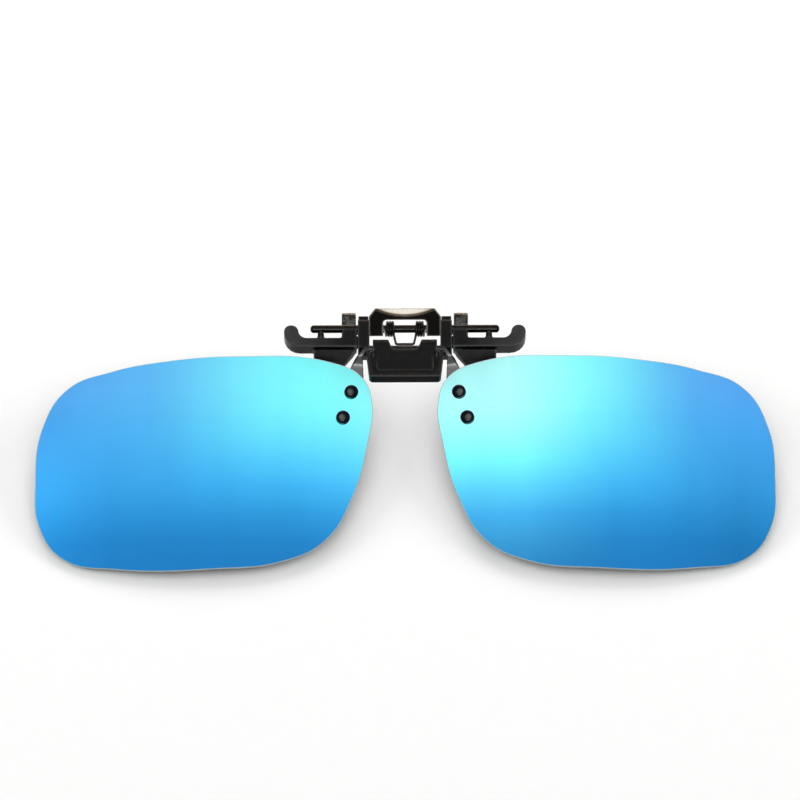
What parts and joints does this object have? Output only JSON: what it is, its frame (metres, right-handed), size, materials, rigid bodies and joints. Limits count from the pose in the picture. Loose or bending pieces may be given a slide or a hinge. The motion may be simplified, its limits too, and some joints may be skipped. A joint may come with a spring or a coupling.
{
  "type": "clip-on sunglasses",
  "caption": "Flip-up clip-on sunglasses: mirrored blue lenses on a spring-loaded bridge clip that grips eyeglasses with rubber-faced claws.",
  "frame": {"origin": "on the table, under the middle of the part's box, the glasses lying on their back", "axes": "+X across the lenses, +Y up when the glasses are worn, +Z to the front, away from the wearer"},
  "size_m": [0.1334, 0.0514, 0.0175],
  "materials": {
    "lens": "blue mirror coating on polycarbonate",
    "black_plastic": "fine moulded grain",
    "gunmetal": "polished dark plating",
    "satin_metal": "satin grey strip",
    "rivet": "glossy black",
    "spring_steel": "dark drawn wire",
    "rubber": "soft black rubber",
    "nylon": "natural nylon"
  },
  "bodies": {
    "rear_jaw": {"thumb_plate": "gunmetal", "clamp_pin": "gunmetal", "torsion_spring": "spring_steel", "rear_claw_left": "spring_steel", "rear_claw_right": "spring_steel", "claw_sleeve_left": "rubber", "claw_sleeve_right": "rubber", "claw_block_left": "gunmetal", "claw_block_right": "gunmetal"},
    "front_jaw": {"finger_scoop": "black_plastic", "front_jaw_bridge": "black_plastic", "jaw_arm_left": "black_plastic", "jaw_arm_right": "black_plastic", "claw_pad_left": "rubber", "claw_pad_right": "rubber", "friction_bush_left": "nylon", "friction_bush_right": "nylon"},
    "lens_carrier": {"flip_axle": "spring_steel", "lens_left": "lens", "lens_right": "lens", "lens_leg_left": "satin_metal", "lens_leg_right": "satin_metal", "rivet_upper_left": "rivet", "rivet_upper_right": "rivet", "rivet_lower_left": "rivet", "rivet_lower_right": "rivet", "washer_upper_left": "nylon", "washer_upper_right": "nylon", "washer_lower_left": "nylon", "washer_lower_right": "nylon"}
  },
  "joints": [
    {"name": "clamp", "type": "hinge", "parent": "rear_jaw", "child": "front_jaw", "pos_m": [0, 0.02089, 0.0052], "axis": [-1, 0, 0], "range_deg": [0, 20], "stiffness_Nm_per_rad": 0.03, "springref_deg": -22.92, "deforming": ["torsion_spring"]},
    {"name": "flip", "type": "hinge", "parent": "front_jaw", "child": "lens_carrier", "pos_m": [0, 0.01559, 0.008], "axis": [-1, 0, 0], "range_deg": [0, 90]}
  ]
}
